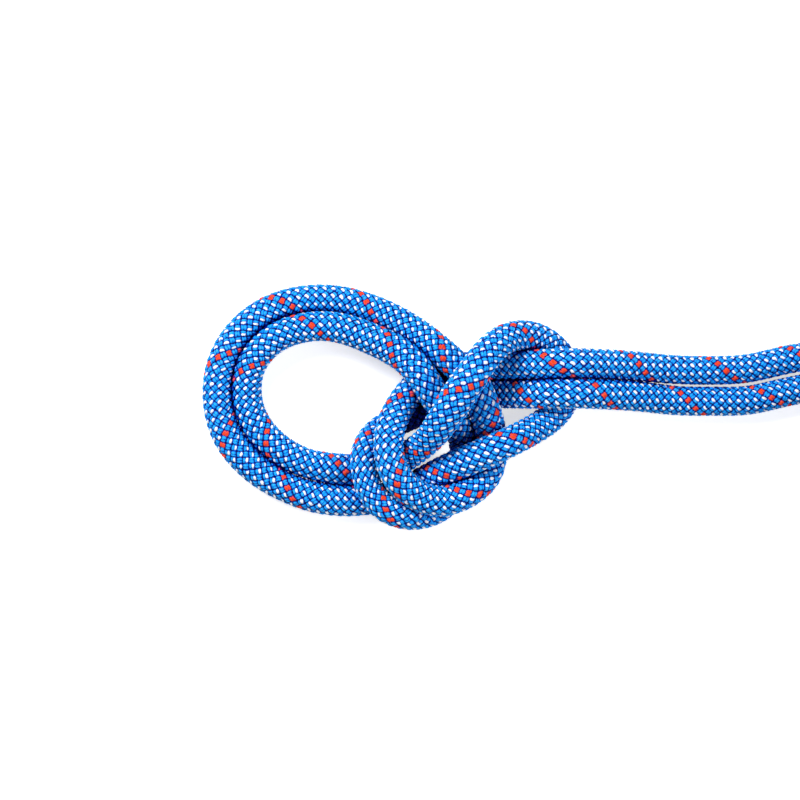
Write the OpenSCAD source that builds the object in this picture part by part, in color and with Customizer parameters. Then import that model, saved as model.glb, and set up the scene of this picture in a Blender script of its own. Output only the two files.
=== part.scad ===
// A length of kernmantle climbing rope, knotted at its middle into a doubled
// bowline, with the rest of both halves wound into one round coil.
// Millimetres. The origin lies on the ground at the centre of the knot's eye,
// +X runs from the eye towards the coil and +Z is up.

/* [Rope] */
// Outside diameter of the rope
rope_d = 10; // [9.6:0.1:10]
// Thickness of the braided sheath
sheath_wall = 1.1; // [0.9:0.05:1.2]
// Gap between neighbouring core strands, and round them
core_gap = 0.15; // [0.1:0.05:0.3]

/* [Coil] */
// Turns that lie beside each other across the coil
turns_across = 6; // [4:1:6]
// Turns that lie on top of each other
turns_up = 12; // [10:1:13]
// Diameter of the circle along the middle of the turns
coil_mean_d = 130; // [124:2:136]
// Place along X of the coil's centre
coil_x = 325; // [325:5:360]

/* [Ties] */
// Width of the webbing tie
tie_w = 20; // [12:1:30]
// Thickness of the webbing
tie_t = 1.5; // [1:0.1:2]
// How deep the tie pulls into the turns
tie_squeeze = 2.5; // [2.4:0.1:4]
// Free tail of webbing past the overlap
tie_tail = 24; // [15:1:40]

/* [Rope ends] */
// Length of the shrunk sleeve at each end
sleeve_l = 32; // [20:1:40]
// Wall of the sleeve
sleeve_t = 0.5; // [0.4:0.1:0.8]
// Radial gap between the sleeve and the rope
sleeve_gap = 0.15; // [0.1:0.05:0.3]
// Length of the melted tip
seal_l = 4; // [2:0.5:6]

/* [Hidden] */
$fn = 48;

sheath_sides = 10;
core_sides = 6;
rest_gap = 0.3;
lead_ease = 0.1;
sharpest_turn = 24; // degrees between one ring of the swept rope and the next

// The rope's middle, chosen by hand. The coil sends it out at standing_out and takes it
// back at standing_in; between them it ties the knot.
standing_out = [[265, 15, 5], [240, 15, 5], [215, 15, 5], [190, 15, 5], [165, 14.4, 5],
    [149, 9.3, 5], [137, 9, 5], [124, 9.1, 5], [111, 10.4, 7], [98, 11.3, 12],
    [86, 11.5, 17], [74, 11, 13], [64, 11, 7.5], [54, 10.5, 5], [45, 9.5, 5], [37, 5.5, 6.5]];
nipping_hook = [[31, -0.5, 13], [26.5, -9, 17.5], [25.5, -17.5, 21], [27.5, -26, 21.5],
    [34, -33, 19], [43.5, -36, 16], [53.5, -32.5, 15], [60.5, -25.5, 9.5], [61, -17, 8],
    [60, -9, 12], [57.5, -2, 16.5]];
outer_loop = [[55, 5, 16.5], [48, 11.5, 16], [39.5, 19, 12], [30, 25.5, 8], [19, 30.5, 5],
    [7, 33.5, 5], [-5, 33, 5], [-16, 29.3, 5], [-25.1, 22.1, 5], [-31, 12.3, 5],
    [-32.6, 1, 5], [-30.7, -10, 5], [-26, -18, 5], [-18.2, -25.6, 5], [-8, -31.3, 5], [2, -34.5, 5]];
collar = [[12, -35.3, 5], [21, -34.8, 5], [29.5, -33, 5], [37, -29, 7], [44, -25, 13],
    [52, -21.5, 17], [60, -18, 19], [67, -15, 18.5], [74, -11.5, 11], [81, -7.5, 6],
    [86, -1, 5], [87, 6, 5], [85, 13, 5], [80, 18.5, 6], [73, 21.5, 11.5], [65.5, 20.5, 17],
    [59.5, 15.5, 23], [55, 9, 26.5], [51, 3, 27], [47, -3, 27], [43.5, -9, 25], [39.5, -14.5, 20],
    [35, -18, 14], [30, -21.5, 9], [25, -23.5, 5.5], [17, -25, 5]];
inner_loop = [[8, -24.5, 5], [-1, -23, 5], [-9, -19.5, 5], [-16.2, -13.7, 5], [-21.3, -6, 5],
    [-22.7, 3, 5.5], [-21, 11.8, 6.5], [-14.8, 18.8, 8], [-7, 22.8, 9], [3, 24.5, 10],
    [12, 23, 10.5], [20, 19.7, 11], [28, 16.2, 13], [34.5, 11, 16.5], [39, 4.5, 18.5],
    [42, -1, 16.5]];
nipping_turn = [[47.5, -6.5, 15], [51.3, -13, 7], [52, -20, 5], [50.5, -28, 5], [46.5, -35, 5],
    [41, -39, 5], [33, -40.5, 11.5], [24.5, -38, 15], [19.5, -32, 15.5], [17.5, -25.5, 16],
    [17.5, -19.5, 14.5], [19.5, -14.5, 9.5], [23.5, -11, 5.5], [28, -8.5, 5], [36, -5, 5],
    [45, -1.5, 5], [54, 0.5, 5], [64, 1.5, 5.5], [74, 1, 11.5], [86, 1.5, 17]];
standing_in = [[98, 1.1, 12], [111, 0.4, 7], [124, -1.6, 5], [137, -1.3, 5], [149, -1.7, 5],
    [165, 3.4, 5], [190, 5, 5], [215, 5, 5], [240, 5, 5], [265, 5, 5]];
route = concat(standing_out, nipping_hook, outer_loop, collar, inner_loop, nipping_turn,
    standing_in);

bore_r = rope_d / 2 - sheath_wall;
core_fit_r = bore_r * cos(180 / sheath_sides) - core_gap;
core_r = (core_fit_r - core_gap) / 3;
core_pitch_r = 2 * core_r + core_gap;

bundle_w = turns_across * rope_d;
bundle_h = turns_up * rope_d;
coil_in_r = coil_mean_d / 2 - bundle_w / 2;
coil_out_r = coil_mean_d / 2 + bundle_w / 2;
lead_out = standing_out[0];
lead_in = standing_in[len(standing_in) - 1];
coil_y = lead_out[1] + rope_d / 2 - coil_out_r;
tie_angle = [0, 180];
tie_half_angle = asin((tie_w / 2 + 1) / coil_in_r);
tie_bulge = coil_in_r - sqrt(coil_in_r ^ 2 - (tie_w / 2) ^ 2);

// How far short of the coil's centre each lead has sunk into the turns.
sunk_at = [24, 36];

tip_r = [coil_in_r + 1.5 * rope_d, coil_in_r + 0.5 * rope_d];
tip_angle = [90, 272];
tip_z = bundle_h + rest_gap + sleeve_t + sleeve_gap + rope_d / 2;
tip_bare = 3 * rope_d;
riser_l = 5 * rope_d;
riser_foot_z = bundle_h - 0.7 * rope_d;

// ---------- smooth line through the route ----------

function unit(v) = v / norm(v);

function ended(p) = concat([2 * p[0] - p[1]], p, [2 * p[len(p) - 1] - p[len(p) - 2]]);

function on_curve(p, i, t) =
    ((1 - t) ^ 3 * p[i] + (3 * t ^ 3 - 6 * t ^ 2 + 4) * p[i + 1]
        + (-3 * t ^ 3 + 3 * t ^ 2 + 3 * t + 1) * p[i + 2] + t ^ 3 * p[i + 3]) / 6;

function heading(p, i, t) =
    unit(-(1 - t) ^ 2 * p[i] + (3 * t ^ 2 - 4 * t) * p[i + 1]
        + (-3 * t ^ 2 + 2 * t + 1) * p[i + 2] + t ^ 2 * p[i + 3]);

function turn(p, i) = acos(min(1, heading(p, i, 0) * heading(p, i, 1)));

// Each station is [place, heading]. A span that turns sharply gets more stations.
function stations(p) = concat(
    [for (i = [0:len(p) - 4])
        let (n = max(1, ceil(turn(p, i) / sharpest_turn)))
            for (k = [0:n - 1]) [on_curve(p, i, k / n), heading(p, i, k / n)]],
    [[on_curve(p, len(p) - 4, 1), heading(p, len(p) - 4, 1)]]);

rope_line = stations(ended(route));

// A ring of a strand whose middle lies beside and above the rope's own middle.
function ring(station, beside, above, r, sides) =
    let (across = unit(cross([0, 0, 1], station[1])), up = cross(station[1], across))
        [for (k = [0:sides - 1])
            let (a = 360 * (k + 0.5) / sides)
                station[0] + (beside + r * cos(a)) * across + (above + r * sin(a)) * up];

function wall(rings, sides, first, inward) =
    [for (i = [0:rings - 2], k = [0:sides - 1])
        let (a = first + i * sides + k, b = first + i * sides + (k + 1) % sides)
            each inward
                ? [[a, b, b + sides], [a, b + sides, a + sides]]
                : [[b, a, a + sides], [b, a + sides, b + sides]]];

// ---------- shapes ----------

module rod(from, to, d) {
    along = to - from;
    translate(from)
        rotate([0, acos(along[2] / norm(along)), atan2(along[1], along[0])])
            rotate([0, 0, 90]) cylinder(h = norm(along), d = d);
}

module strand(beside, above) {
    rings = len(rope_line);
    polyhedron(
        points = [for (s = rope_line) each ring(s, beside, above, core_r, core_sides)],
        faces = concat(
            wall(rings, core_sides, 0, false),
            [[for (k = [0:core_sides - 1]) k]],
            [[for (k = [core_sides - 1:-1:0]) (rings - 1) * core_sides + k]]),
        convexity = 10);
}

module sheath() {
    rings = len(rope_line);
    inner = rings * sheath_sides;
    last = (rings - 1) * sheath_sides;
    color("dodgerblue")
        polyhedron(
            points = concat(
                [for (s = rope_line) each ring(s, 0, 0, rope_d / 2, sheath_sides)],
                [for (s = rope_line) each ring(s, 0, 0, bore_r, sheath_sides)]),
            faces = concat(
                wall(rings, sheath_sides, 0, false),
                wall(rings, sheath_sides, inner, true),
                [for (k = [0:sheath_sides - 1])
                    let (n = (k + 1) % sheath_sides) [k, n, inner + n, inner + k]],
                [for (k = [0:sheath_sides - 1])
                    let (n = (k + 1) % sheath_sides)
                        [last + n, last + k, inner + last + k, inner + last + n]]),
            convexity = 10);
}

module core_strand(number) {
    place = number == 1
        ? [0, 0]
        : core_pitch_r * [cos(60 * (number - 2)), sin(60 * (number - 2))];
    color("white") strand(place[0], place[1]);
}

// The coil's section, drawn in from its outside by inset.
module bundle(inset) {
    round_r = rope_d / 2;
    translate([coil_in_r + inset + round_r, inset + round_r])
        rounded_rect(bundle_w - 2 * inset, bundle_h - 2 * inset, round_r);
}

// A rectangle with round corners, made of exact arcs and flats.
module rounded_rect(w, h, r) {
    for (x = [0, w - 2 * r], y = [0, h - 2 * r]) translate([x, y]) circle(r = r);
    translate([-r, 0]) square([w, h - 2 * r]);
    translate([0, -r]) square([w - 2 * r, h]);
}

// The end of each half climbs out of the top turn from tip_foot to tip_knee and lies
// straight along tip_way on top of the coil, as far as tip_end.
function tip_way(i) = [sin(tip_angle[i]), -cos(tip_angle[i]), 0];
function tip_knee(i) =
    [coil_x + tip_r[i] * cos(tip_angle[i]), coil_y + tip_r[i] * sin(tip_angle[i]), tip_z];
function tip_foot(i) = tip_knee(i) - riser_l * tip_way(i) - [0, 0, tip_z - riser_foot_z];
function tip_end(i) = tip_knee(i) + (tip_bare + sleeve_l) * tip_way(i);

module coil() {
    color("dodgerblue") {
        translate([coil_x, coil_y, 0]) {
            rotate_extrude($fn = 96) bundle(tie_squeeze);
            turns(tie_angle[0] + tie_half_angle, tie_angle[1] - tie_half_angle);
            turns(tie_angle[1] + tie_half_angle, tie_angle[0] + 360 - tie_half_angle);
        }
        lead(lead_out, sunk_at[0]);
        lead(lead_in, sunk_at[1]);
        for (i = [0, 1]) rope_tip(i);
    }
}

// The turns at their full size, from one angle to another.
module turns(from, to) {
    rotate([0, 0, from]) rotate_extrude(angle = to - from, $fn = 96) bundle(0);
}

// The rope's last stretch on the ground before it lies fully within the coil.
module lead(from, short_of) {
    rod(from, [coil_x - short_of, from[1], from[2]], rope_d - lead_ease);
}

module rope_tip(i) {
    rod(tip_foot(i), tip_knee(i), rope_d - lead_ease);
    rod(tip_knee(i) - tip_way(i), tip_end(i) - seal_l * tip_way(i), rope_d);
}

module end_sleeve(i) {
    bore = rope_d + 2 * sleeve_gap;
    color("black")
        difference() {
            rod(tip_end(i) - sleeve_l * tip_way(i), tip_end(i), bore + 2 * sleeve_t);
            rod(tip_end(i) - (sleeve_l + 1) * tip_way(i), tip_end(i) + tip_way(i), bore);
        }
}

module end_seal(i) {
    color("navy") rod(tip_end(i) - seal_l * tip_way(i), tip_end(i), rope_d);
}

// A webbing strap that stands across the turns and closes round them, with its free
// tail lying on top. The curve of the turns bulges by tie_bulge across its width.
module coil_tie(i) {
    in_w = bundle_w - 2 * tie_squeeze + 2 * rest_gap + tie_bulge;
    in_h = bundle_h - 2 * tie_squeeze + 2 * rest_gap;
    corner_r = rope_d / 2;
    color("dimgray")
        translate([coil_x, coil_y, 0])
            rotate([0, 0, tie_angle[i]])
                translate([coil_mean_d / 2 - tie_bulge / 2, 0, bundle_h / 2]) {
                    difference() {
                        across_turns(in_w + 2 * tie_t, in_h + 2 * tie_t, corner_r + tie_t, tie_w);
                        across_turns(in_w, in_h, corner_r, tie_w + 2);
                    }
                    translate([-tie_tail / 2, -tie_w / 2, in_h / 2 + tie_t])
                        cube([tie_tail, tie_w, tie_t]);
                }
}

// A rectangle with round corners, w across the turns and h high, extruded along them.
module across_turns(w, h, r, length) {
    rotate([90, 0, 0])
        translate([0, 0, -length / 2])
            linear_extrude(length)
                translate([r - w / 2, r - h / 2]) rounded_rect(w, h, r);
}

sheath();
core_strand(1);  // core_strand_1
core_strand(2);  // core_strand_2
core_strand(3);  // core_strand_3
core_strand(4);  // core_strand_4
core_strand(5);  // core_strand_5
core_strand(6);  // core_strand_6
core_strand(7);  // core_strand_7
coil();
coil_tie(0);  // coil_tie_a
coil_tie(1);  // coil_tie_b
end_sleeve(0);  // end_sleeve_a
end_sleeve(1);  // end_sleeve_b
end_seal(0);  // end_seal_a
end_seal(1);  // end_seal_b
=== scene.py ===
# %% [markdown]
# # A dynamic climbing rope, tied in a bowline on a bight
#
# The rope is one long piece of kernmantle: a braided sheath round a core of twisted strands. Its middle
# is tied into a knot with a double eye, and both halves run off to one round coil that two webbing ties
# hold. The solid model gives every place and size, so the first cell opens it, and everything made here
# goes where it already is.

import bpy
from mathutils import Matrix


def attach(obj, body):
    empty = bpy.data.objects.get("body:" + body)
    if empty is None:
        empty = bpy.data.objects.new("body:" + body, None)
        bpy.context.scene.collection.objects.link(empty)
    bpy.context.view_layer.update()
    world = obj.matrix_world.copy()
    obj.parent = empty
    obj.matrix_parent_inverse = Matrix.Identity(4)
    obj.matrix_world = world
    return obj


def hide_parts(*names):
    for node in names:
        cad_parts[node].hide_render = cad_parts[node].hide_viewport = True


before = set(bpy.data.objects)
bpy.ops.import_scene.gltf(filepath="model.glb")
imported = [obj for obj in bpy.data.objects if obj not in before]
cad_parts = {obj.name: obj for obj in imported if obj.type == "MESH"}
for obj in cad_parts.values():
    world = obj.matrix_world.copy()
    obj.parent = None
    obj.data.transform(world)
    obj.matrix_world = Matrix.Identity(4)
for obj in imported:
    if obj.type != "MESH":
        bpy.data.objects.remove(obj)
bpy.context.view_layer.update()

# %% [markdown]
# ## The camera
#
# The knot is seen from straight above. A camera close to it would make the strands on top of the knot
# look much thicker than those on the ground, so this one stands well back with a long lens. The lens
# follows from the width of ground that has to fill a square picture: focal length = sensor x distance
# / width.

# %% Hang the camera over the knot
import bpy

view_centre = (0.0298, -0.0010)
view_width = 0.2712
camera_height = 1.5
rope_middle = 0.005
sensor_width = 36

lens = bpy.data.cameras.new("camera")
lens.sensor_width = sensor_width
lens.lens = sensor_width * camera_height / view_width
camera = bpy.data.objects.new("camera", lens)
camera.location = (*view_centre, rope_middle + camera_height)
bpy.context.scene.collection.objects.link(camera)
bpy.context.scene.camera = camera
print("lens", round(lens.lens, 1), "mm")

# %% [markdown]
# ## The way of the rope
#
# A knot is a path before it is a shape. The path could be drawn as a Bezier curve with handles, but
# each handle would need its own care. A B-spline needs only a row of points: it leans towards each
# one without passing through it, so it never kinks. These are the same points that the solid model
# uses, in millimetres, in the order in which a hand would tie the knot. The third number is the height
# of the rope's middle: 5 where it lies on the ground, about 16 on one other strand and up to 27 on two.
#
# `smooth_line` works the line out. On the way from one point to the next, `pull` says how strongly each
# of the four points round that span draws the line. `walk` then gives the place and the direction of
# the line at any distance from its start.

# %% List the points of the way
import numpy as np

standing_out = [[265, 15, 5], [240, 15, 5], [215, 15, 5], [190, 15, 5], [165, 14.4, 5],
    [149, 9.3, 5], [137, 9, 5], [124, 9.1, 5], [111, 10.4, 7], [98, 11.3, 12],
    [86, 11.5, 17], [74, 11, 13], [64, 11, 7.5], [54, 10.5, 5], [45, 9.5, 5], [37, 5.5, 6.5]]
nipping_hook = [[31, -0.5, 13], [26.5, -9, 17.5], [25.5, -17.5, 21], [27.5, -26, 21.5],
    [34, -33, 19], [43.5, -36, 16], [53.5, -32.5, 15], [60.5, -25.5, 9.5], [61, -17, 8],
    [60, -9, 12], [57.5, -2, 16.5]]
outer_loop = [[55, 5, 16.5], [48, 11.5, 16], [39.5, 19, 12], [30, 25.5, 8], [19, 30.5, 5],
    [7, 33.5, 5], [-5, 33, 5], [-16, 29.3, 5], [-25.1, 22.1, 5], [-31, 12.3, 5],
    [-32.6, 1, 5], [-30.7, -10, 5], [-26, -18, 5], [-18.2, -25.6, 5], [-8, -31.3, 5], [2, -34.5, 5]]
collar = [[12, -35.3, 5], [21, -34.8, 5], [29.5, -33, 5], [37, -29, 7], [44, -25, 13],
    [52, -21.5, 17], [60, -18, 19], [67, -15, 18.5], [74, -11.5, 11], [81, -7.5, 6],
    [86, -1, 5], [87, 6, 5], [85, 13, 5], [80, 18.5, 6], [73, 21.5, 11.5], [65.5, 20.5, 17],
    [59.5, 15.5, 23], [55, 9, 26.5], [51, 3, 27], [47, -3, 27], [43.5, -9, 25], [39.5, -14.5, 20],
    [35, -18, 14], [30, -21.5, 9], [25, -23.5, 5.5], [17, -25, 5]]
inner_loop = [[8, -24.5, 5], [-1, -23, 5], [-9, -19.5, 5], [-16.2, -13.7, 5], [-21.3, -6, 5],
    [-22.7, 3, 5.5], [-21, 11.8, 6.5], [-14.8, 18.8, 8], [-7, 22.8, 9], [3, 24.5, 10],
    [12, 23, 10.5], [20, 19.7, 11], [28, 16.2, 13], [34.5, 11, 16.5], [39, 4.5, 18.5],
    [42, -1, 16.5]]
nipping_turn = [[47.5, -6.5, 15], [51.3, -13, 7], [52, -20, 5], [50.5, -28, 5], [46.5, -35, 5],
    [41, -39, 5], [33, -40.5, 11.5], [24.5, -38, 15], [19.5, -32, 15.5], [17.5, -25.5, 16],
    [17.5, -19.5, 14.5], [19.5, -14.5, 9.5], [23.5, -11, 5.5], [28, -8.5, 5], [36, -5, 5],
    [45, -1.5, 5], [54, 0.5, 5], [64, 1.5, 5.5], [74, 1, 11.5], [86, 1.5, 17]]
standing_in = [[98, 1.1, 12], [111, 0.4, 7], [124, -1.6, 5], [137, -1.3, 5], [149, -1.7, 5],
    [165, 3.4, 5], [190, 5, 5], [215, 5, 5], [240, 5, 5], [265, 5, 5]]
way_points = 0.001 * np.array(standing_out + nipping_hook + outer_loop + collar
    + inner_loop + nipping_turn + standing_in)
print(len(way_points), "points")

# %% Smooth them into one line
def smooth_line(points, per_span=60):
    ends = np.vstack([2 * points[0] - points[1], points, 2 * points[-1] - points[-2]])
    t = np.arange(per_span) / per_span
    pull = np.array([(1 - t) ** 3, 3 * t**3 - 6 * t**2 + 4,
        -3 * t**3 + 3 * t**2 + 3 * t + 1, t**3]) / 6
    spans = [pull.T @ ends[i : i + 4] for i in range(len(ends) - 3)]
    return np.vstack(spans + [points[-1:]])


def distance_along(line):
    steps = np.linalg.norm(np.diff(line, axis=0), axis=1)
    return np.concatenate([[0], np.cumsum(steps)])


def walk(line, distances):
    along = distance_along(line)
    turning = np.gradient(line, along, axis=0)
    places = np.column_stack([np.interp(distances, along, line[:, k]) for k in range(3)])
    ways = np.column_stack([np.interp(distances, along, turning[:, k]) for k in range(3)])
    return places, ways / np.linalg.norm(ways, axis=1, keepdims=True)


knot_line = smooth_line(way_points)
knot_length = distance_along(knot_line)[-1]
print("the knotted stretch is", round(knot_length, 4), "m long")

# %% [markdown]
# ## The braid
#
# Forty yarns make the sheath, in pairs: ten pairs wind one way round the rope and ten the other, and a
# pair goes over one crossing pair and under the next. So the surface is a chequerboard of small
# diamonds, each a pair of yarns side by side. It is easiest to think of on flat graph paper: `u` counts
# along the rope and `w` counts round it, 20 for a full turn, and the yarns run along the lines where
# `w - u` or `w + u` is a whole number. One turn of a yarn takes one pitch of rope.
#
# The relief could be left to a bump map, but then the outline of the strands would be as smooth as a
# hose. Here each quarter of a `u` and of a `w` gets a vertex, so each diamond is a real little cushion.
# Its height is the crown along a yarn, which dips where the yarn goes under, times a mix of two arches
# across: a wide one over the pair and two narrow ones over its yarns.

# %% Say how high the braid stands
yarns_round = 20
pitch = 0.0285
rope_radius = 0.00518
relief = 0.0008
pair_share = 0.6
crown_fullness = 0.7


def weave_height(u, w):
    rising = w - u
    falling = w + u
    rising_on_top = (np.floor(rising / 2) + np.floor(falling / 2)) % 2 < 0.5
    across = np.where(rising_on_top, rising, falling) % 2
    along = np.where(rising_on_top, falling, rising) % 2
    pair = np.sqrt(1 - (across - 1) ** 2)
    yarn = np.sqrt(1 - (2 * (across % 1) - 1) ** 2)
    crown = np.abs(np.sin(np.pi * along / 2)) ** crown_fullness
    return crown * (pair_share * pair + (1 - pair_share) * yarn)


print("height in the middle of a yarn:", float(weave_height(np.array(0.5), np.array(1.0))))

# %% [markdown]
# ## Where the red tracer shows
#
# One pair is red. It winds round the rope like the stripe on a barber's pole, but a rope that is tied
# and handled twists a little, so its turns aren't all alike. Each point below is a place where the red
# pair lies on the upper side of a strand. A search over the rope's upper side finds the spot that is
# straight under each point, as a distance along the rope and an angle round it. An angle is counted in
# turns: 0 and 0.5 are the two sides of the rope, and 0.25 is its top. Between two such places the rope
# makes the whole number of turns that is nearest to its pitch.

# %% List the places of the tracer
tracer_seen = 0.001 * np.array([[163.5, 16, 5], [140, 9, 5], [111.5, 10, 7], [80.5, 12, 15],
    [29, 0.5, 12], [29, -28, 21.5], [52, -32, 15], [62.5, -4.5, 12], [44, 16, 14],
    [19, 31, 5], [-9, 32, 5], [-30.5, 14, 5], [-29.5, -13, 5], [-8, -31, 5],
    [47.5, -27, 14], [70.5, -14, 14], [69.5, 24, 13], [49.5, 2.5, 27], [39.5, -19, 18],
    [9, -22.5, 5], [-15.5, -16.5, 5], [-19.5, 10.5, 7], [1.5, 22.5, 10], [26.5, 17, 13],
    [25.5, -39.5, 14], [18, -12, 11], [71, 1, 9], [99, 0, 12], [128, -2, 5], [156, -0.5, 5]])
print(len(tracer_seen), "places of the tracer")

# %% Turn the braid so that the tracer passes those places
search_reach = 0.012
search_angles = np.linspace(0.04, 0.46, 85)[:, None, None]


def side_and_top(ways):
    side = np.cross([0, 0, 1], ways)
    side /= np.linalg.norm(side, axis=1, keepdims=True)
    return side, np.cross(ways, side)


def tracer_turns(line, seen, radius):
    along = distance_along(line)
    side, top = side_and_top(walk(line, along)[1])
    turn = 2 * np.pi * search_angles
    found, turned = [], []
    for p in seen:
        nearest = int(np.argmin(np.linalg.norm(line - p, axis=1)))
        near = np.flatnonzero(np.abs(along - along[nearest]) < search_reach)
        out = np.cos(turn) * side[near] + np.sin(turn) * top[near]
        miss = np.linalg.norm((line[near] + radius * out - p)[:, :, :2], axis=2)
        a, k = np.unravel_index(np.argmin(miss), miss.shape)
        found.append(along[near[k]])
        turned.append(float(search_angles[a, 0, 0]))
    change = np.diff(turned)
    whole = np.round(np.diff(found) / pitch - change)
    return np.array(found), turned[0] + np.concatenate([[0], np.cumsum(whole + change)])


tracer_found, tracer_turned = tracer_turns(knot_line, tracer_seen, radius=0.005)
print("mm of rope per turn of the tracer:",
    np.round(1000 * np.diff(tracer_found) / np.diff(tracer_turned), 1))

# %% Carry on at one pitch past the first and last place
past = 0.2
known_at = np.concatenate([[tracer_found[0] - past], tracer_found, [tracer_found[-1] + past]])
known_turns = np.concatenate([[tracer_turned[0] - past / pitch], tracer_turned,
    [tracer_turned[-1] + past / pitch]])
print("turns are known from", round(known_at[0], 3), "to", round(known_at[-1], 3), "m")

# %% [markdown]
# ## Rolling a grid
#
# Rope, webbing and sleeves are all long things with one cross-section, so one maker serves them all. A
# flat grid is rolled up: `bmesh.ops.create_grid` makes it with its UV map, and numpy then gives every
# vertex its place, row by row along the thing and column by column round it. Edges that meet are
# merged, and open ends are closed. The UV map keeps the maker's own numbers, such as the graph paper's
# `u` and `w`, so a material can find its yarns again. One more number can be kept at each vertex, as
# the attribute `shut_in`: the next step says what it is for.
#
# `rope_tube` lays such a grid round a middle line. Where the rope would dip below the ground, it is
# pressed flat on it.

# %% Roll a grid up
import bmesh


def rolled(name, places, numbers, shut=None):
    rows, columns = len(places) - 1, len(places[0]) - 1
    form = bmesh.new()
    form.loops.layers.uv.new("weave")
    bmesh.ops.create_grid(form, x_segments=columns, y_segments=rows, size=0.5, calc_uvs=True)
    mesh = bpy.data.meshes.new(name)
    form.to_mesh(mesh)
    form.free()
    flat = np.empty(3 * len(mesh.vertices))
    mesh.vertices.foreach_get("co", flat)
    column, row = np.round((flat.reshape(-1, 3)[:, :2] + 0.5) * [columns, rows]).astype(int).T
    mesh.vertices.foreach_set("co", places[row, column].ravel())
    corner = np.empty(len(mesh.loops), dtype=np.int32)
    mesh.loops.foreach_get("vertex_index", corner)
    at_corner = numbers[row, column][corner].astype(np.float32)
    mesh.uv_layers[0].data.foreach_set("uv", at_corner.ravel())
    if shut is not None:
        kept = mesh.attributes.new("shut_in", "FLOAT", "POINT")
        kept.data.foreach_set("value", shut[row, column].astype(np.float32))
    close_up(mesh)
    mesh.shade_smooth()
    piece = bpy.data.objects.new(name, mesh)
    bpy.context.scene.collection.objects.link(piece)
    print(name, len(mesh.vertices), "vertices")
    return piece


def close_up(mesh):
    form = bmesh.new()
    form.from_mesh(mesh)
    bmesh.ops.remove_doubles(form, verts=form.verts, dist=1e-6)
    rims = [e for e in form.edges if e.is_boundary]
    if rims:
        ends = bmesh.ops.holes_fill(form, edges=rims, sides=0)["faces"]
        bmesh.ops.poke(form, faces=ends)
    bmesh.ops.recalc_face_normals(form, faces=form.faces)
    form.to_mesh(mesh)
    form.free()


# %% Roll one into a rope
def rope_tube(name, columns, places, ways, twist, radius_at, u, shut_in=None):
    side, top = side_and_top(ways)
    grid_u, grid_w = np.broadcast_arrays(u[:, None], np.linspace(0, yarns_round, columns + 1))
    angle = 2 * np.pi * (grid_w / yarns_round - twist[:, None])[:, :, None]
    out = np.cos(angle) * side[:, None] + np.sin(angle) * top[:, None]
    at = places[:, None] + radius_at(grid_u, grid_w)[:, :, None] * out
    at[:, :, 2] = np.maximum(at[:, :, 2], 0)
    shut = None if shut_in is None else shut_in(at)
    return rolled(name, at, np.stack([grid_u, grid_w], axis=2), shut)


# %% [markdown]
# ## Painted shade where two strands press together
#
# Hardly any light gets in between two strands that touch, or down into the knot, and the yarns there
# look almost black. In a soft studio light the lamps alone leave them too pale, so that shade is
# painted into the yarns' colour. Every place on the knot's surface keeps a number that says how shut in
# it is: 1 where it touches another strand, 0 from 2 mm away, and more again where other strands cover
# much of the sky above it. A short piece of strand covers as much of the sky as its breadth times its
# length, times its height above the place, over pi times the cube of its distance. The stretch of rope
# that the place is on doesn't count, nor does anything farther off than three times the rope's
# thickness. The finish reads the number and darkens the yarns' colour by it, as painted shade.

# %% Say how shut in a place is
breadth = 0.01
line_step = 0.001
looks_round = 0.03
own_stretch = 0.025
shade_from = 0.0072
shade_fades = 0.002
sky_to_spare = 0.35
line_at = np.arange(0, knot_length, line_step)
line_places = walk(knot_line, line_at)[0]
print("strands felt for at", len(line_places), "places")


def shut_by_others(surface, at):
    shut = np.zeros(surface.shape[:2])
    for row, ring in enumerate(surface):
        away = np.linalg.norm(line_places - ring.mean(axis=0), axis=1)
        others = line_places[(away < looks_round) & (np.abs(line_at - at[row]) > own_stretch)]
        if len(others):
            over = others - ring[:, None]
            off = np.linalg.norm(over, axis=2)
            touching = np.clip((shade_from - off.min(axis=1)) / shade_fades, 0, 1) ** 1.5
            height = np.maximum(over[:, :, 2], 0)
            covered = (breadth * line_step / np.pi * height / off**3).sum(axis=1)
            shut[row] = np.maximum(touching, np.clip(covered - sky_to_spare, 0, 1))
    return shut


# %% [markdown]
# ## The knotted stretch, in lengths
#
# One mesh for the whole knot would be too heavy to handle, so it is made in three equal lengths. Each
# starts on the very ring on which the one before it ends, so there is no gap between them.
#
# The rows lie a quarter of a `u` apart. Each is twisted so that the middle of the red pair, at
# `w = u + 1`, has turned as far there as the tracer has.
#
# A knotted rope isn't equally thick all over: some turns are full and others are pressed thin. So
# `fullness` lists places on the rope's middle line, in millimetres, each with a factor on its radius.
# Between two places the factor changes evenly.

# %% Set out the rows of the knotted stretch
steps_per_yarn = 4
columns_round = steps_per_yarn * yarns_round
rows_in_all = int(round(knot_length * columns_round / pitch))
row_at = np.linspace(0, knot_length, rows_in_all + 1)
row_u = np.arange(rows_in_all + 1) / steps_per_yarn
row_places, row_ways = walk(knot_line, row_at)
row_twist = (row_u + 1) / yarns_round - np.interp(row_at, known_at, known_turns)
print(rows_in_all, "rows of", columns_round, "columns")

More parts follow.
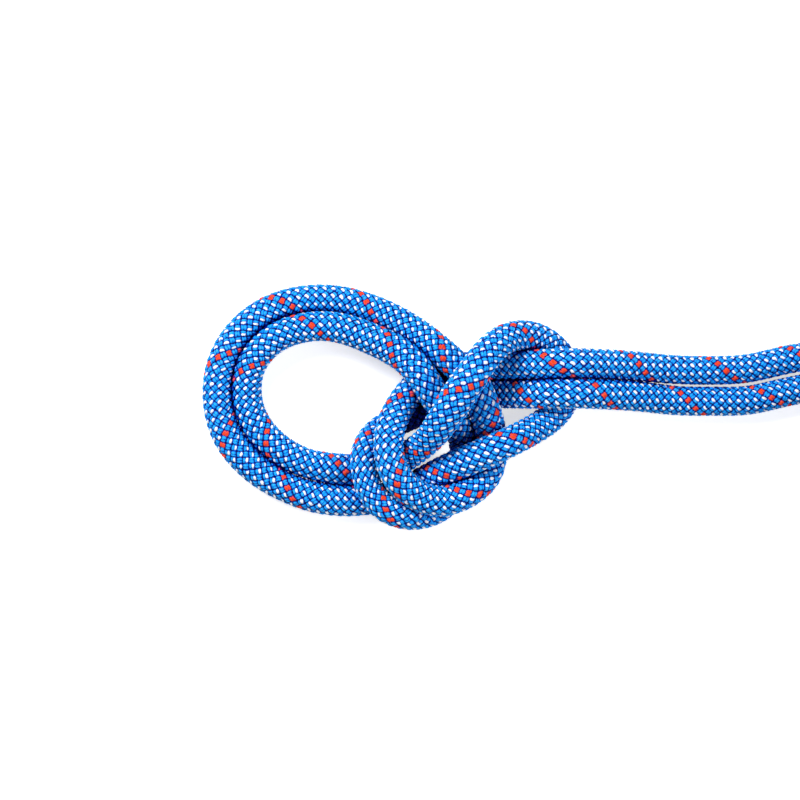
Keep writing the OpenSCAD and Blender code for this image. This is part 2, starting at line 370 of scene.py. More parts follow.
# %% Say how full the rope is
fullness = np.array([[190, 15, 5, 0.98], [149, 9.3, 5, 0.97], [124, 9.1, 5, 0.98],
    [111, 10.4, 7, 1.01], [25.5, -17.5, 21, 1.01], [27.5, -26, 21.5, 1.03],
    [53.5, -32.5, 15, 1.02], [61, -17, 8, 1.05], [60, -9, 12, 1.09], [57.5, -2, 16.5, 1.09],
    [48, 11.5, 16, 1.01], [-30.7, -10, 5, 1.03], [-26, -18, 5, 1.04], [-18.2, -25.6, 5, 1.03],
    [-8, -31, 5, 1.01], [2, -34.5, 5, 1.06], [12, -35.3, 5, 1.07],
    [21, -34.8, 5, 1.01], [37, -29, 7, 1.01], [52, -21.5, 17, 1.06], [60, -18, 19, 1.05],
    [74, -11.5, 11, 1.01], [65.5, 20.5, 17, 1.01], [59.5, 15.5, 23, 1.07], [51, 3, 27, 1.15],
    [47, -3, 27, 1.16], [43.5, -9, 25, 1.07], [39.5, -14.5, 20, 0.98], [30, -21.5, 9, 0.98],
    [17, -25, 5, 1.06], [8, -24.5, 5, 1.08], [-1, -23, 5, 1.01], [-9, -19.5, 5, 1.03],
    [-16.2, -13.7, 5, 1.04], [-21.3, -6, 5, 1.03], [3, 24.5, 10, 1],
    [20, 19.7, 11, 1.06], [28, 16.2, 13, 1.1], [39, 4.5, 18.5, 1.03], [33, -40.5, 11.5, 1],
    [24.5, -38, 15, 0.95], [19.5, -32, 15.5, 0.89], [17.5, -25.5, 16, 0.88],
    [17.5, -19.5, 14.5, 0.95], [23.5, -11, 5.5, 1], [98, 1.1, 12, 1.04], [111, 0.4, 7, 1.03],
    [124, -1.6, 5, 0.99], [149, -1.7, 5, 0.98], [190, 5, 5, 0.98]])
nearest = [int(np.argmin(np.linalg.norm(knot_line - 0.001 * f[:3], axis=1))) for f in fullness]
full_at = distance_along(knot_line)[nearest]
row_full = np.interp(row_at, full_at, fullness[:, 3])


def braided_radius(u, w):
    full = np.interp(u, row_u, row_full)
    return rope_radius * full - relief + relief * weave_height(u, w)


print("the radius goes from", round(rope_radius * row_full.min(), 5), "to",
    round(rope_radius * row_full.max(), 5), "m")

# %% Sweep the three lengths
cuts = [0, int(rows_in_all / 3), int(2 * rows_in_all / 3), rows_in_all]
lengths = ["rope_from_coil_to_eye", "rope_round_collar", "rope_from_eye_to_coil"]
knot_ropes = []
for name, start, stop in zip(lengths, cuts, cuts[1:]):
    part = slice(start, stop + 1)
    rope = rope_tube(name, columns_round, row_places[part], row_ways[part], row_twist[part],
        braided_radius, row_u[part], lambda surface: shut_by_others(surface, row_at[part]))
    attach(rope, "root")
    knot_ropes.append(rope)
    print("  starts at", np.round(1000 * row_places[start], 1), "mm")
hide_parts("sheath")

# %% [markdown]
# ## The coil
#
# Nearly all of the rope is in the coil. Both halves are wound together, side by side: twelve rows up
# the outside, a step in, twelve rows down, another step in and twelve rows up again. A row can only
# start once the one before it has made room, so the stops below say after how many degrees each climb
# and each step in begins and ends. The radius and height change smoothly from one stop to the next.
# On top, each half climbs once more, on to the last turns, and runs straight on to its end.
#
# A tie pulls the turns together. `tied` says how much: fully up to 11 mm from the middle of the tie,
# and not at all from 26 mm.

# %% List the stops of a half
coil_middle = np.array([325, -75])
coil_mean_r = 65
coil_rows = 12
thick = 10
climb = 40
out_climbs = 285
steps_in = out_climbs - climb
mid_climbs = steps_in - climb
steps_in_again = mid_climbs - climb
last_climb = 35
on_top = 10.95


def stops_of(outer, climb_apart, leaves):
    mid, inner = outer - 2 * thick, outer - 4 * thick
    steps, low, top = coil_rows - 1, thick / 2, thick * coil_rows - thick / 2
    stops = [(0, outer, low)]
    for n in range(steps):
        up = 360 * n + out_climbs
        stops += [(up, outer, low + thick * n), (up + climb, outer, low + thick * (n + 1))]
    over = 360 * steps + steps_in
    stops += [(over, outer, top), (over + climb, mid, top)]
    for n in range(steps):
        down = 360 * (coil_rows + n) + mid_climbs
        stops += [(down, mid, top - thick * n), (down + climb, mid, top - thick * (n + 1))]
    under = 360 * (coil_rows + steps) + steps_in_again
    stops += [(under, mid, low), (under + climb, inner, low)]
    for n in range(steps):
        up = under + 360 + climb_apart * n
        stops += [(up - climb, inner, low + thick * n), (up, inner, low + thick * (n + 1))]
    stops += [(leaves - last_climb, inner, top), (leaves, inner, top + on_top)]
    return np.array(stops, dtype=float)


def ease(stops, turned, column):
    k = np.clip(np.searchsorted(stops[:, 0], turned, side="right") - 1, 0, len(stops) - 2)
    t = np.clip((turned - stops[k, 0]) / (stops[k + 1, 0] - stops[k, 0]), 0, 1)
    return stops[k, column] + (stops[k + 1, column] - stops[k, column]) * t * t * (3 - 2 * t)


stops_a = stops_of(outer=90, climb_apart=344, leaves=35 * 360)
stops_b = stops_of(outer=80, climb_apart=361.8, leaves=35 * 360 + 178)
print("turns of the two halves:", stops_a[-1, 0] / 360, "and", round(stops_b[-1, 0] / 360, 2))

# %% Say how much a tie pulls the turns together
tie_angles = [0, 180]
pull_ends = 26
pull_fades = 15
tied_narrower = 0.092
tied_lower = 0.042


def tied(angle, r):
    share = np.zeros(len(angle))
    for tie in tie_angles:
        off = np.radians(angle - tie)
        near = np.clip((pull_ends - r * np.abs(np.sin(off))) / pull_fades, 0, 1)
        t = np.where(np.cos(off) > 0, near, 0)
        share = np.maximum(share, t * t * (3 - 2 * t))
    return share


print("under a tie the winding is narrower by", tied_narrower, "and lower by", tied_lower)

# %% Wind both halves
turn_step = 4
lead_from = 265
lead_step = 6
tail_step = 8
tail_length = 58


def half_of_coil(lead_y, stops):
    turned = np.append(np.arange(0, stops[-1, 0], turn_step), stops[-1, 0])
    angle = 90 - turned
    middle = thick / 2 * coil_rows
    r, z = ease(stops, turned, 1), ease(stops, turned, 2)
    share = tied(angle, r)
    r = coil_mean_r + (r - coil_mean_r) * (1 - tied_narrower * share)
    z = middle + (z - middle) * (1 - tied_lower * share)
    ring = 0.001 * np.column_stack([r * np.cos(np.radians(angle)), r * np.sin(np.radians(angle)), z])
    ring[:, :2] += 0.001 * coil_middle
    lead_x = range(lead_from, coil_middle[0], lead_step)
    lead = 0.001 * np.array([[x, lead_y, thick / 2] for x in lead_x])
    last = np.radians(angle[-1])
    way = np.array([np.sin(last), -np.cos(last), 0])
    straight = ring[-1] + 0.001 * np.arange(tail_step, tail_length, tail_step)[:, None] * way
    return np.vstack([lead, ring, straight, ring[-1] + 0.001 * tail_length * way])


half_a = half_of_coil(15, stops_a)
half_b = half_of_coil(5, stops_b)
for half in (half_a, half_b):
    print("half of", round(distance_along(half)[-1], 3), "m, ends at", np.round(1000 * half[-1], 1))

# %% Sweep both halves of the coil
coiled_radius = 0.00495
coil_columns = 22


def plain_radius(u, w):
    return np.full(u.shape, coiled_radius)


coil_ropes = []
for name, half in (("rope_coiled_a", half_a), ("rope_coiled_b", half_b)):
    along = distance_along(half)
    u = along * yarns_round / pitch
    untwisted = np.zeros(len(half))
    rope = rope_tube(name, coil_columns, half, walk(half, along)[1], untwisted, plain_radius, u)
    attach(rope, "root")
    coil_ropes.append(rope)
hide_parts("coil")

# %% [markdown]
# ## The rope's two ends
#
# A cut end of kernmantle frays, so it is melted to a lump and a shrunk tube is put over it. The tube
# follows the braid below it, and its edges roll in a little. Both are turned shapes, so they are rolled
# up like the rope: each profile is a row of points, a distance from the very end and a radius, and the
# profile goes round the rope's middle line. The tube's profile is a closed loop with an inside, and the
# lump's runs to a point at both ends.

# %% Draw the profiles
sleeve_length = 32
seal_length = 4
rings_outside = 94


def sleeve_profile():
    outside = np.column_stack([np.linspace(-sleeve_length + 0.5, -0.5, rings_outside),
        np.full(rings_outside, 5.6)])
    front = [[-0.2, 5.5], [0, 5.3], [-0.1, 5.06]]
    back = [[0.1 - sleeve_length, 5.06], [-sleeve_length, 5.3], [0.2 - sleeve_length, 5.5]]
    return np.vstack([outside, front, back, outside[:1]])


def seal_profile():
    return np.array([[-seal_length, 0], [-seal_length, 4.9], [-2, 4.9], [-0.8, 4.85], [-0.2, 4.6],
        [0.3, 4.1], [0.6, 3.3], [0.8, 2.2], [0.85, 1.1], [0.8, 0]])


print("profiles of", len(sleeve_profile()), "and", len(seal_profile()), "points")

# %% Turn the melted ends and their sleeves
sleeve_columns = 96
seal_columns = 48
braid_shows = 0.025
lumpiness = 0.05


def turned_piece(end, way, profile, columns):
    side, top = side_and_top(way[None])
    angle = np.linspace(0, 2 * np.pi, columns + 1)[None, :, None]
    out = np.cos(angle) * side + np.sin(angle) * top
    at = end + 0.001 * (profile[:, :1, None] * way + profile[:, 1:, None] * out)
    grid_w = np.linspace(0, yarns_round, columns + 1)
    return at, np.stack(np.broadcast_arrays(profile[:, :1], grid_w), axis=2)


def sleeve_and_seal(end, way, letter):
    at, numbers = turned_piece(end, way, sleeve_profile(), sleeve_columns)
    wall = slice(1, rings_outside - 1)
    u = numbers[wall, :, 0] * yarns_round / (1000 * pitch)
    raised = weave_height(u, numbers[wall, :, 1])[:, :, None]
    middle = end + 0.001 * numbers[wall, :, :1] * way
    at[wall] = middle + (at[wall] - middle) * (1 + braid_shows * raised)
    sleeve = rolled("sleeve_" + letter, at, numbers)
    at, numbers = turned_piece(end, way, seal_profile(), seal_columns)
    w = numbers[:, :, 1:]
    lump = lumpiness * np.sin(0.94 * w + 1) * np.sin(1.26 * w)
    at[1:-1] += lump[1:-1] * (at[1:-1] - end)
    seal = rolled("melted_end_" + letter, at, numbers)
    for piece, node, slot in ((sleeve, "end_sleeve_", "sleeve"), (seal, "end_seal_", "seal")):
        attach(piece, "root")
        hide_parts(node + letter)
    return [sleeve, seal]


end_pieces = []
for half, letter in ((half_a, "a"), (half_b, "b")):
    way = half[-1] - half[-2]
    way /= np.linalg.norm(way)
    end_pieces.append(sleeve_and_seal(half[-1] + 0.001 * seal_length * way, way, letter))

# %% Say which end pieces each half ends in
for rope, half, ends in zip(coil_ropes, (half_a, half_b), end_pieces):
    print(rope.name, "ends in", ends[0].name, "and", ends[1].name)

# %% [markdown]
# ## The ties
#
# Two straps of flat webbing stand across the turns and hold the coil together. Each is woven with ribs
# along its length and closes on top, where its free tail lies on it and is held by a box of stitches.
# A strap is a thin section carried round a rectangle with round corners, so it is rolled up as well:
# the columns follow the section, with its ribs and its thin selvedges, and the rows follow the strap.
# The tail goes through the same maker. It rises out of the strap, lies flat on it and curls up a little
# at its rounded tip.

# %% Draw the strap's section and its way round the turns
tie_width = 20
tie_thickness = 1.5
tie_reach = 64.27
tie_half = np.array([29.28, 58.55])
tie_corner = 5.75
ribs = 10
rib_height = 0.12
side_steps = (106, 47, 106, 47)
corner_steps = 9


def webbing_section(width):
    x = np.linspace(1, -1, 4 * ribs + 1)
    edge = np.sqrt(1 - x**16)
    rib = rib_height * np.abs(np.sin(ribs / 2 * np.pi * x))
    y = (tie_thickness / 2 - rib_height + rib) * edge
    face = np.column_stack([width / 2 * x, y])
    return np.vstack([face, -face, face[:1]])


def strap_way():
    flat_x, flat_z = tie_half - tie_corner
    centres = np.array([[flat_x, -flat_z], [flat_x, flat_z], [-flat_x, flat_z], [-flat_x, -flat_z]])
    points, outward = [centres[0] + [tie_corner, 0]], [[1, 0]]
    for k, steps in enumerate(side_steps):
        following = centres[(k + 1) % 4]
        for n in range(steps):
            outward.append(outward[-1])
            points.append(points[-1] + (following - centres[k]) / steps)
        for a in np.radians(np.linspace(90 * k, 90 * k + 90, corner_steps + 1)[1:]):
            outward.append([np.cos(a), np.sin(a)])
            points.append(following + tie_corner * np.array(outward[-1]))
    return np.array(points), np.array(outward)


print("a strap has", len(strap_way()[0]), "rows of", len(webbing_section(tie_width)), "points")

# %% Carry the section round the way
def tie_place(angle, flat):
    radial = np.array([np.cos(angle), np.sin(angle), 0])
    across = np.array([-np.sin(angle), np.cos(angle), 0])
    middle = np.array([*coil_middle, thick / 2 * coil_rows]) + tie_reach * radial
    return 0.001 * (middle + flat[..., :1] * radial + flat[..., 1:2] * across
        + flat[..., 2:] * np.array([0, 0, 1]))


def strap_grid(points, outward, widths):
    sections = np.array([webbing_section(w) for w in widths])
    off = sections[:, :, 1, None] * outward[:, None]
    flat = np.stack([points[:, None, 0] + off[:, :, 0], sections[:, :, 0],
        points[:, None, 1] + off[:, :, 1]], axis=2)
    along = np.concatenate([[0], np.cumsum(np.linalg.norm(np.diff(points, axis=0), axis=1))])
    numbers = np.stack(np.broadcast_arrays(along[:, None], sections[:, :, 0]), axis=2)
    return flat, numbers


band_points, band_out = strap_way()
band_widths = np.full(len(band_points), tie_width)
band_flat, band_numbers = strap_grid(band_points, band_out, band_widths)
print("a strap is", round(0.001 * band_numbers[-1, 0, 0], 4), "m long")

# %% Lay the tail on the strap
tail_half = 12
slope_length = 4
curl_length = 7
curl_height = 0.9
tip_radius = 3
tip_at = 10.5

tail_x = np.linspace(-tail_half, tail_half, 4 * tail_half + 1)
tail_z = tie_half[1] + tie_thickness * np.clip((tail_x + tail_half) / slope_length, 0.2, 1)
tail_z += curl_height * np.clip((tail_x - (tail_half - curl_length)) / curl_length, 0, 1) ** 2
tail_widths = tie_width * np.sqrt(1 - np.clip((tail_x - tip_at) / tip_radius, 0, 1) ** 2)
tail_out = np.tile([0.0, 1.0], (len(tail_x), 1))
tail_flat, tail_numbers = strap_grid(np.column_stack([tail_x, tail_z]), tail_out, tail_widths)
print("the tail is", round(tail_numbers[-1, 0, 0], 1), "mm long")

# %% Put both straps round the turns
tie_pieces = []
for angle, letter in zip(np.radians(tie_angles), "ab"):
    band = rolled("tie_" + letter, tie_place(angle, band_flat), band_numbers)
    tail = rolled("tie_tail_" + letter, tie_place(angle, tail_flat), tail_numbers)
    for piece in (band, tail):
        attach(piece, "root")
        tie_pieces.append(piece)
    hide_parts("coil_tie_" + letter)

# %% Set out the stitches
stitch_apart = 2.7


def stitch_ends():
    box = np.array([[-7, -8], [1, -8], [1, 8], [-7, 8], [-7, -8]])
    for a, b in zip(box, box[1:]):
        count = int(round(np.abs(b - a).max() / stitch_apart))
        for n in range(count):
            yield a + (b - a) * (n + 0.1) / count, a + (b - a) * (n + 0.85) / count


print(len(list(stitch_ends())), "stitches in a box")

# %% Sew the tails down
thread_radius = 0.0003
stitch_points = 5
stitch_rise = 0.25
stitch_sunk = 0.2
thread_pieces = []
for angle, letter in zip(np.radians(tie_angles), "ab"):
    thread = bpy.data.curves.new("stitches_" + letter, "CURVE")
    thread.dimensions = "3D"
    thread.bevel_depth = 1
    thread.bevel_resolution = 2
    thread.use_fill_caps = True
    for a, b in stitch_ends():
        line = thread.splines.new("POLY")
        line.points.add(stitch_points - 1)
        for k, t in enumerate(np.linspace(0, 1, stitch_points)):
            x, y = a + (b - a) * t
            high = tie_half[1] + 1.5 * tie_thickness + stitch_rise * np.sin(np.pi * t) - stitch_sunk
            line.points[k].co = (*tie_place(angle, np.array([x, y, high])), 1)
            line.points[k].radius = thread_radius
    stitches = bpy.data.objects.new("stitches_" + letter, thread)
    bpy.context.scene.collection.objects.link(stitches)
    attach(stitches, "root")
    thread_pieces.append(stitches)
    print(stitches.name, len(thread.splines), "stitches")

# %% [markdown]
# ## How a finish is built
#
# Every finish here is made of shader nodes, with no pictures. Small helpers keep them readable. `dye`
# turns a colour's code into the numbers that a shader wants, `calc` adds a sum to the node tree, and
# `colours_along` adds a row of colours for a value to run along. A helper takes a plain number or what
# another node gives: `join` sets the one and links the other. The patterns come from noises on the
# object's own coordinates, and from the numbers that each piece keeps in its UV map.

# %% Helpers for colours and sums
def dye(code):
    parts = [int(code[i : i + 2], 16) / 255 for i in (1, 3, 5)]
    return [p / 12.92 if p <= 0.04045 else ((p + 0.055) / 1.055) ** 2.4 for p in parts] + [1]


def new_finish(name):
    finish = bpy.data.materials.new(name)
    finish.use_nodes = True
    return finish.node_tree, finish.node_tree.nodes["Principled BSDF"], finish


def join(tree, value, socket):
    if isinstance(value, bpy.types.NodeSocket):
        tree.links.new(value, socket)
    else:
        socket.default_value = value


def calc(tree, operation, *values):
    node = tree.nodes.new("ShaderNodeMath")
    node.operation = operation
    for value, socket in zip(values, node.inputs):
        join(tree, value, socket)
    return node.outputs[0]


def colours_along(tree, value, stops):
    node = tree.nodes.new("ShaderNodeValToRGB")
    ramp = node.color_ramp
    while len(ramp.elements) < len(stops):
        ramp.elements.new(1)
    for element, (place, code) in zip(ramp.elements, stops):
        element.position = place
        element.color = dye(code)
    join(tree, value, node.inputs[0])
    return node.outputs[0]


def blend_colours(tree, share, first, second):
    node = tree.nodes.new("ShaderNodeMix")
    node.data_type = "RGBA"
    join(tree, share, node.inputs[0])
    join(tree, first, node.inputs[6])
    join(tree, second, node.inputs[7])
    return node.outputs[2]


# %% Helpers for patterns
def mapped_numbers(tree):
    mapped = tree.nodes.new("ShaderNodeUVMap")
    mapped.uv_map = "weave"
    parts = tree.nodes.new("ShaderNodeSeparateXYZ")
    tree.links.new(mapped.outputs[0], parts.inputs[0])
    return parts.outputs[0], parts.outputs[1]


def noise(tree, place, scale, detail):
    node = tree.nodes.new("ShaderNodeTexNoise")
    node.inputs["Scale"].default_value = scale
    node.inputs["Detail"].default_value = detail
    join(tree, place, node.inputs["Vector"])
    return node.outputs["Fac"]


def object_noise(tree, scale, detail, stretch=(1, 1, 1)):
    place = tree.nodes.new("ShaderNodeTexCoord").outputs["Object"]
    stretched = tree.nodes.new("ShaderNodeVectorMath")
    stretched.operation = "MULTIPLY"
    stretched.inputs[1].default_value = stretch
    tree.links.new(place, stretched.inputs[0])
    return noise(tree, stretched.outputs[0], scale, detail)


def xyz(tree, *values):
    node = tree.nodes.new("ShaderNodeCombineXYZ")
    for value, socket in zip(values, node.inputs):
        join(tree, value, socket)
    return node.outputs[0]


def bump(tree, height, distance, strength):
    node = tree.nodes.new("ShaderNodeBump")
    node.inputs["Strength"].default_value = strength
    node.inputs["Distance"].default_value = distance
    join(tree, height, node.inputs["Height"])
    return node.outputs[0]


# %% [markdown]
# ## The sheath's finish
#
# Nylon yarn is a bundle of glossy filaments with a slight twist. Lit, it is bright along its crown and
# nearly black in the crevices between the pairs, and here that highlight and shade are painted into its
# colour. The finish reads the graph-paper numbers from the UV map, works out which yarn lies on top
# with
# the same sums as the relief, and dyes it: one yarn of each rising pair is white, one whole pair is the
# red tracer, and all the others are blue. Two faint noises push the yarns aside by about a fifth of
# their width at most, because no braid is laid quite evenly.
#
# A colour could be chosen by height alone, but a yarn is also streaked by its filaments and shaded by
# its neighbours. So the painted light takes the height, a noise that is drawn out into slanting streaks
# and the number `shut_in`, and each dye has its own row of colours from painted shade in its darkest
# crevice to a painted highlight on its crown. A piece without that number, such as the coil, reads 0
# there and isn't darkened.

# %% Work out the yarn at each place
unevenness = 0.8


def yarn_at(tree):
    u, w = mapped_numbers(tree)
    wander, stray = [calc(tree, "MULTIPLY_ADD", object_noise(tree, scale, 1.0), unevenness,
        -unevenness / 2) for scale in (500, 620)]
    rising = calc(tree, "ADD", calc(tree, "SUBTRACT", w, u), wander)
    falling = calc(tree, "ADD", calc(tree, "ADD", w, u), stray)
    in_rising = calc(tree, "FLOORED_MODULO", rising, 2)
    in_falling = calc(tree, "FLOORED_MODULO", falling, 2)
    pair_sum = calc(tree, "MULTIPLY", calc(tree, "SUBTRACT",
        calc(tree, "ADD", rising, falling), calc(tree, "ADD", in_rising, in_falling)), 0.5)
    odd = calc(tree, "FLOORED_MODULO", calc(tree, "ROUND", pair_sum), 2)
    under = calc(tree, "GREATER_THAN", odd, 0.5)
    return rising, falling, in_rising, in_falling, under


# %% Round the yarns off
yarn_half = 0.47
pair_half = 0.97
seen_pair_share = 0.45


def choose(tree, share, first, second):
    return calc(tree, "MULTIPLY_ADD", share, calc(tree, "SUBTRACT", second, first), first)


def dome(tree, value, middle, half_width):
    off = calc(tree, "DIVIDE", calc(tree, "SUBTRACT", value, middle), half_width)
    left = calc(tree, "SUBTRACT", 1, calc(tree, "MULTIPLY", off, off))
    return calc(tree, "SQRT", calc(tree, "MAXIMUM", left, 0))


def yarn_height(tree, across, along):
    yarn = dome(tree, calc(tree, "FRACT", across), 0.5, yarn_half)
    pair = dome(tree, across, 1, pair_half)
    crown = dome(tree, along, 1, pair_half)
    arches = calc(tree, "MULTIPLY_ADD", pair, seen_pair_share,
        calc(tree, "MULTIPLY", yarn, 1 - seen_pair_share))
    return calc(tree, "MULTIPLY", crown, arches)


# %% Streak them with filaments and paint their shade
# How far painted shade darkens the yarns' colour where other strands shut them in.
painted_shade_depth = 0.7


def filament_noise(tree, across, lane, under):
    strand = xyz(tree, calc(tree, "MULTIPLY_ADD", across, 6, calc(tree, "MULTIPLY", lane, 3)),
        calc(tree, "MULTIPLY", lane, 1.2), calc(tree, "MULTIPLY", under, 3))
    return noise(tree, strand, 1.1, 2)


def how_lit(tree, height, filaments):
    # Painted light and shade: the brightness that picks the colour follows the yarn's height, so crowns
    # come out bright and crevices dark, and it is darkened further where other strands shut the place
    # in.
    shut = tree.nodes.new("ShaderNodeAttribute")
    shut.attribute_name = "shut_in"
    painted_light = calc(tree, "MULTIPLY", height, calc(tree, "MULTIPLY_ADD", filaments, 1.6, 0.2))
    open_share = calc(tree, "MULTIPLY_ADD", shut.outputs["Fac"], -painted_shade_depth, 1)
    return calc(tree, "MULTIPLY", painted_light, open_share)


# %% Choose the dye of each yarn
def dyed_yarns(tree, painted_light, rising, in_rising, under):
    # Each row of colours runs from painted shade in the crevices to a painted highlight on the crown.
    blue = colours_along(tree, painted_light, [(0.22, "#000028"), (0.42, "#001090"), (0.52, "#005CD0"),
        (0.62, "#0090FF"), (0.82, "#08A0FF"), (1, "#40BCFF")])
    white = colours_along(tree, painted_light, [(0.4, "#001898"), (0.52, "#2080E8"), (0.64, "#E0F0FF"),
        (0.72, "#FFFFFF")])
    red = colours_along(tree, painted_light, [(0.38, "#200060"), (0.5, "#E04070"), (0.62, "#FF6038"),
        (0.85, "#F84010")])
    top = calc(tree, "SUBTRACT", 1, under)
    tracer = calc(tree, "LESS_THAN", calc(tree, "FLOORED_MODULO", rising, yarns_round), 2)
    fleck = calc(tree, "MULTIPLY", top, calc(tree, "LESS_THAN", in_rising, 1))
    flecked = blend_colours(tree, fleck, blue, white)
    return blend_colours(tree, calc(tree, "MULTIPLY", top, tracer), flecked, red)


# %% Build the sheath's finish
def sheath_finish(name, raised):
    tree, shader, finish = new_finish(name)
    rising, falling, in_rising, in_falling, under = yarn_at(tree)
    across = choose(tree, under, in_rising, in_falling)
    along = choose(tree, under, in_falling, in_rising)
    lane = choose(tree, under, falling, rising)
    height = yarn_height(tree, across, along)
    filaments = filament_noise(tree, across, lane, under)
    painted_light = how_lit(tree, height, filaments)
    join(tree, dyed_yarns(tree, painted_light, rising, in_rising, under), shader.inputs["Base Color"])
    shader.inputs["Roughness"].default_value = 0.55
    shader.inputs["Specular IOR Level"].default_value = 0.08
    fibre = calc(tree, "MULTIPLY_ADD", height, raised, calc(tree, "MULTIPLY", filaments, 0.25))
    join(tree, bump(tree, fibre, 0.0005, 0.8), shader.inputs["Normal"])
    print(name, "has", len(tree.nodes), "nodes")
    return finish


# %% Dye the rope
close_braid = sheath_finish("braided_nylon_sheath", raised=0.15)
coiled_braid = sheath_finish("braided_nylon_sheath_in_coil", raised=1.0)
for rope in knot_ropes:
    rope.data.materials.append(close_braid)
for rope in coil_ropes:
    rope.data.materials.append(coiled_braid)
print("dyed", len(knot_ropes) + len(coil_ropes), "stretches of rope")

# %% [markdown]
# ## Webbing, thread, tube, melted ends and core
#
# Webbing is woven tightly, so each rib shows a row of small slanted picks. They are drawn from the two
# numbers of its UV map: millimetres along the strap and millimetres across it. The tube is satin and
# slightly uneven. A melted end is glassy, nearly black where the dyes have run together. The core is
# plain white nylon with the slant of its twist, read from the object's own coordinates.

# %% Weave the webbing
pick_rate = 5.2


def webbing_finish():
    tree, shader, finish = new_finish("woven_webbing")
    along, across = mapped_numbers(tree)
    rib = calc(tree, "ABSOLUTE", calc(tree, "SINE", calc(tree, "MULTIPLY", across, 0.5 * np.pi)))
    slant = calc(tree, "PINGPONG", across, 1)
    pick = calc(tree, "SINE", calc(tree, "MULTIPLY", calc(tree, "ADD", along, slant), pick_rate))
    fibres = xyz(tree, calc(tree, "MULTIPLY", along, 4), calc(tree, "MULTIPLY", across, 9), 0)
    fine = noise(tree, fibres, 1, 2)
    height = calc(tree, "MULTIPLY", rib, calc(tree, "MULTIPLY_ADD", pick, 0.3, 0.7))
    # Painted shade and highlight: the webbing's colour is darker in the grooves between ribs and picks
    # and lighter on their crowns.
    painted_light = calc(tree, "MULTIPLY", height, calc(tree, "MULTIPLY_ADD", fine, 0.8, 0.6))
    dyed = colours_along(tree, painted_light, [(0.05, "#0C0D10"), (0.45, "#2C3036"), (1, "#5A6068")])
    join(tree, dyed, shader.inputs["Base Color"])
    shader.inputs["Roughness"].default_value = 0.7
    shader.inputs["Specular IOR Level"].default_value = 0.3
    join(tree, bump(tree, height, 0.0003, 0.7), shader.inputs["Normal"])
    return finish


webbing = webbing_finish()
for piece in tie_pieces:
    piece.data.materials.append(webbing)
print("webbing on", len(tie_pieces), "pieces")

# %% Mix the mottled finishes
def mottled_finish(name, stops, scale, roughness, rough_height, stretch=(1, 1, 1)):
    tree, shader, finish = new_finish(name)
    mottle = object_noise(tree, scale, 3.0, stretch)
    join(tree, colours_along(tree, mottle, stops), shader.inputs["Base Color"])
    shader.inputs["Roughness"].default_value = roughness
    join(tree, bump(tree, mottle, rough_height, 0.6), shader.inputs["Normal"])
    print(name, "is ready")
    return finish


thread_finish = mottled_finish("pale_thread", [(0.3, "#8C98A8"), (0.7, "#D4DCE6")],
    scale=4000, roughness=0.6, rough_height=0.0001)
tube_finish = mottled_finish("shrunk_tube", [(0.3, "#08080A"), (0.7, "#1C1D20")],
    scale=900, roughness=0.38, rough_height=0.00008)
melt_finish = mottled_finish("melted_nylon", [(0.35, "#02040C"), (0.5, "#06205C"),
    (0.62, "#0A3C98"), (0.72, "#6C8CB8")], scale=500, roughness=0.22, rough_height=0.0003)
core_finish = mottled_finish("twisted_core", [(0.3, "#C8CCD0"), (0.7, "#F0F2F2")],
    scale=2500, roughness=0.6, rough_height=0.0002, stretch=(0.35, 1, 1))

# %% Dye the thread, the tubes, the melted ends and the core
core_strands = 7
for stitches in thread_pieces:
    stitches.data.materials.append(thread_finish)
for sleeve, seal in end_pieces:
    sleeve.data.materials.append(tube_finish)
    seal.data.materials.append(melt_finish)
for number in range(1, core_strands + 1):
    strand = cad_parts["core_strand_" + str(number)]
    strand.data.materials.clear()
    strand.data.materials.append(core_finish)
print("dyed", len(thread_pieces), "seams,", len(end_pieces), "ends and", core_strands, "strands")

# %% [markdown]
# ## The floor
#
# The rope lies on a white sweep. To the camera it should be plain white, but it still has to take the
# rope's soft shadow, or the knot would seem to float. Turning the lamps up until the floor is white
# would bleach the rope as well. So the floor glows a little, and only for rays that come from the
# camera or from a reflection. It glows more farther out, where the lamps hardly reach, so that it runs
# into the white behind it without an edge.

# %% Lay the floor
def white_for_the_camera(tree):
    light_path = tree.nodes.new("ShaderNodeLightPath")
    seen = calc(tree, "MAXIMUM", light_path.outputs["Is Camera Ray"],
        light_path.outputs["Is Glossy Ray"])
    return calc(tree, "MAXIMUM", seen, light_path.outputs["Is Transmission Ray"])


form = bmesh.new()
bmesh.ops.create_grid(form, x_segments=1, y_segments=1, size=3)
sweep = bpy.data.meshes.new("floor")
form.to_mesh(sweep)
form.free()
floor = bpy.data.objects.new("floor", sweep)
bpy.context.scene.collection.objects.link(floor)
print("floor of", round(floor.dimensions.x, 1), "by", round(floor.dimensions.y, 1), "m")

# %% Make it glow for the camera
glow_under_the_rope = 0.63
more_per_metre = 0.25

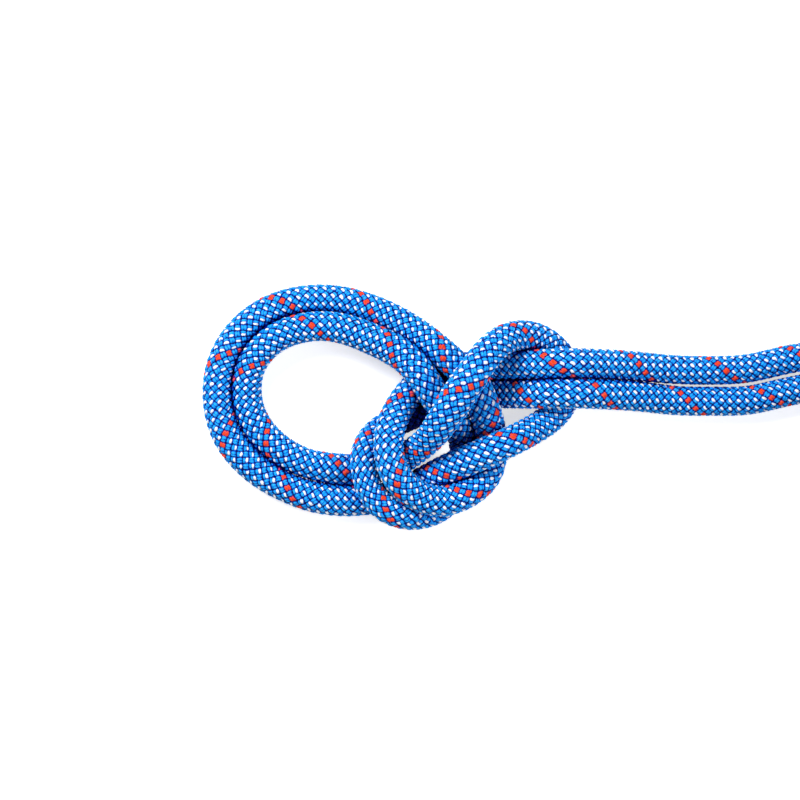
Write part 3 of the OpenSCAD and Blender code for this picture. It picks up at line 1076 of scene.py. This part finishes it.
tree, shader, finish = new_finish("white_sweep")
shader.inputs["Base Color"].default_value = (0.8, 0.8, 0.8, 1)
shader.inputs["Roughness"].default_value = 0.9
shader.inputs["Emission Color"].default_value = (1, 1, 1, 1)
from_middle = tree.nodes.new("ShaderNodeVectorMath")
from_middle.operation = "LENGTH"
tree.links.new(tree.nodes.new("ShaderNodeTexCoord").outputs["Object"], from_middle.inputs[0])
distance = from_middle.outputs["Value"]
growing = calc(tree, "MULTIPLY_ADD", distance, more_per_metre, glow_under_the_rope)
glow = calc(tree, "MINIMUM", growing, 1)
join(tree, calc(tree, "MULTIPLY", white_for_the_camera(tree), glow),
    shader.inputs["Emission Strength"])
sweep.materials.append(finish)
print("the glow is whole from", round((1 - glow_under_the_rope) / more_per_metre, 2), "m")

# %% [markdown]
# ## Studio light
#
# Soft light from all round shows the weave without hard shadows. A large softbox from the upper left
# makes the strands round, and a weaker one from the right keeps their far sides from going black. The
# world gives the even light: white where the camera sees it, and a dark grey for what it adds to the
# rope.

# %% Light the studio from all round
world_light = 0.11

world = bpy.data.worlds.new("studio")
world.use_nodes = True
bpy.context.scene.world = world
bpy.context.scene.view_settings.view_transform = "Standard"
sky = world.node_tree
background = sky.nodes["Background"]
background.inputs["Color"].default_value = (1, 1, 1, 1)
strength = calc(sky, "MULTIPLY_ADD", white_for_the_camera(sky), 1 - world_light, world_light)
join(sky, strength, background.inputs["Strength"])
print("the world lights the rope at", world_light)

# %% Hang the softboxes
from mathutils import Vector

aim_at = Vector((0.03, 0, 0))


def softbox(name, place, size, power):
    lamp = bpy.data.lights.new(name, "AREA")
    lamp.size = size
    lamp.energy = power
    holder = bpy.data.objects.new(name, lamp)
    holder.location = place
    aim = aim_at - Vector(place)
    holder.rotation_euler = aim.to_track_quat("-Z", "Y").to_euler()
    bpy.context.scene.collection.objects.link(holder)
    print(name, "hangs", round(aim.length, 2), "m away")


softbox("softbox_upper_left", (-0.6, 0.7, 1.0), size=0.55, power=21.5)
softbox("softbox_right", (0.9, -0.3, 0.9), size=0.7, power=9.5)
